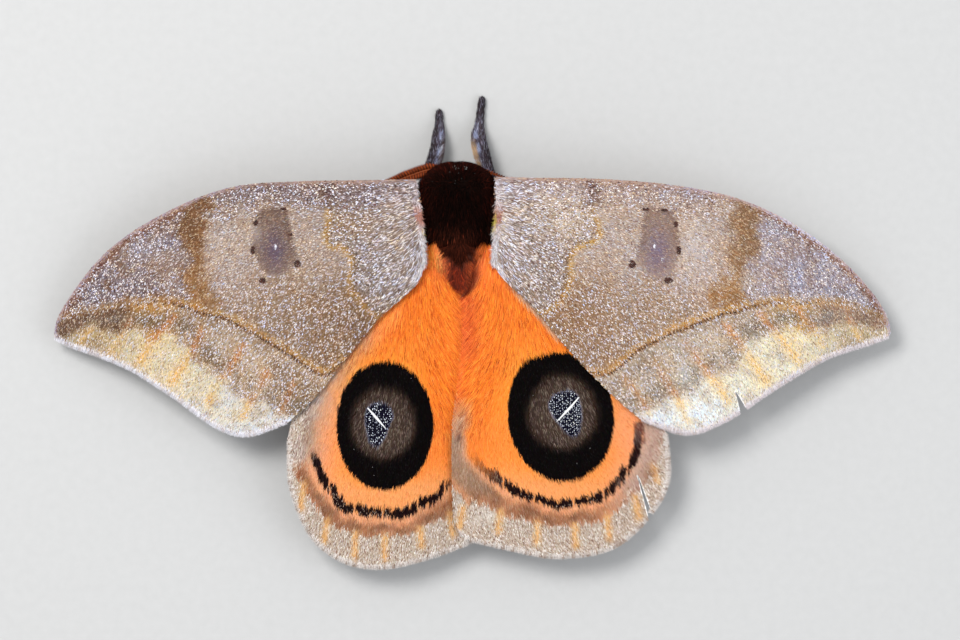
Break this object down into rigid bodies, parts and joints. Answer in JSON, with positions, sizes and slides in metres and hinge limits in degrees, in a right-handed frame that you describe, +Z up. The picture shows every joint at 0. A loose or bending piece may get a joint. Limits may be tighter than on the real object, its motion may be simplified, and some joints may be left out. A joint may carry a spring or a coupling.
{
  "type": "automeris amanda moth",
  "caption": "Silk moth with wings spread flat: grey-brown forewings, orange hindwings with black eyespots, dark furry thorax. Still model that stands on its feet.",
  "frame": {"origin": "on the floor that the feet stand on, under the middle of the outline", "axes": "+X is the moth's right, along its wing span; +Y towards its head; +Z up"},
  "size_m": [0.103, 0.0582, 0.0116],
  "materials": {
    "body_fur": "dense brown-black fur, matte, with a reddish edge",
    "tuft_fur": "long red-brown hair over the hindwing roots",
    "abdomen_fur": "orange and tan hair in rings",
    "forewing_scales": "matte overlapping scales, grey-brown with pale specks, ochre lines and a purple-brown spot",
    "hindwing_scales": "matte orange scales and hair with a black eyespot, a black scalloped line and a pale margin",
    "leg_fur": "grey-violet hair with paler tips",
    "antenna": "orange-brown horny comb, satin",
    "eye": "dark, finely faceted and glossy",
    "palp_fur": "short brown hair"
  },
  "bodies": {
    "root": {"head": "body_fur", "thorax": "body_fur", "thorax_tuft": "tuft_fur", "abdomen": "abdomen_fur", "eye_left": "eye", "eye_right": "eye", "palp_left": "palp_fur", "palp_right": "palp_fur", "antenna_left": "antenna", "antenna_right": "antenna", "forewing_left": "forewing_scales", "forewing_right": "forewing_scales", "hindwing_left": "hindwing_scales", "hindwing_right": "hindwing_scales", "foreleg_left": "leg_fur", "foreleg_right": "leg_fur", "midleg_left": "leg_fur", "midleg_right": "leg_fur", "hindleg_left": "leg_fur", "hindleg_right": "leg_fur"}
  },
  "joints": []
}
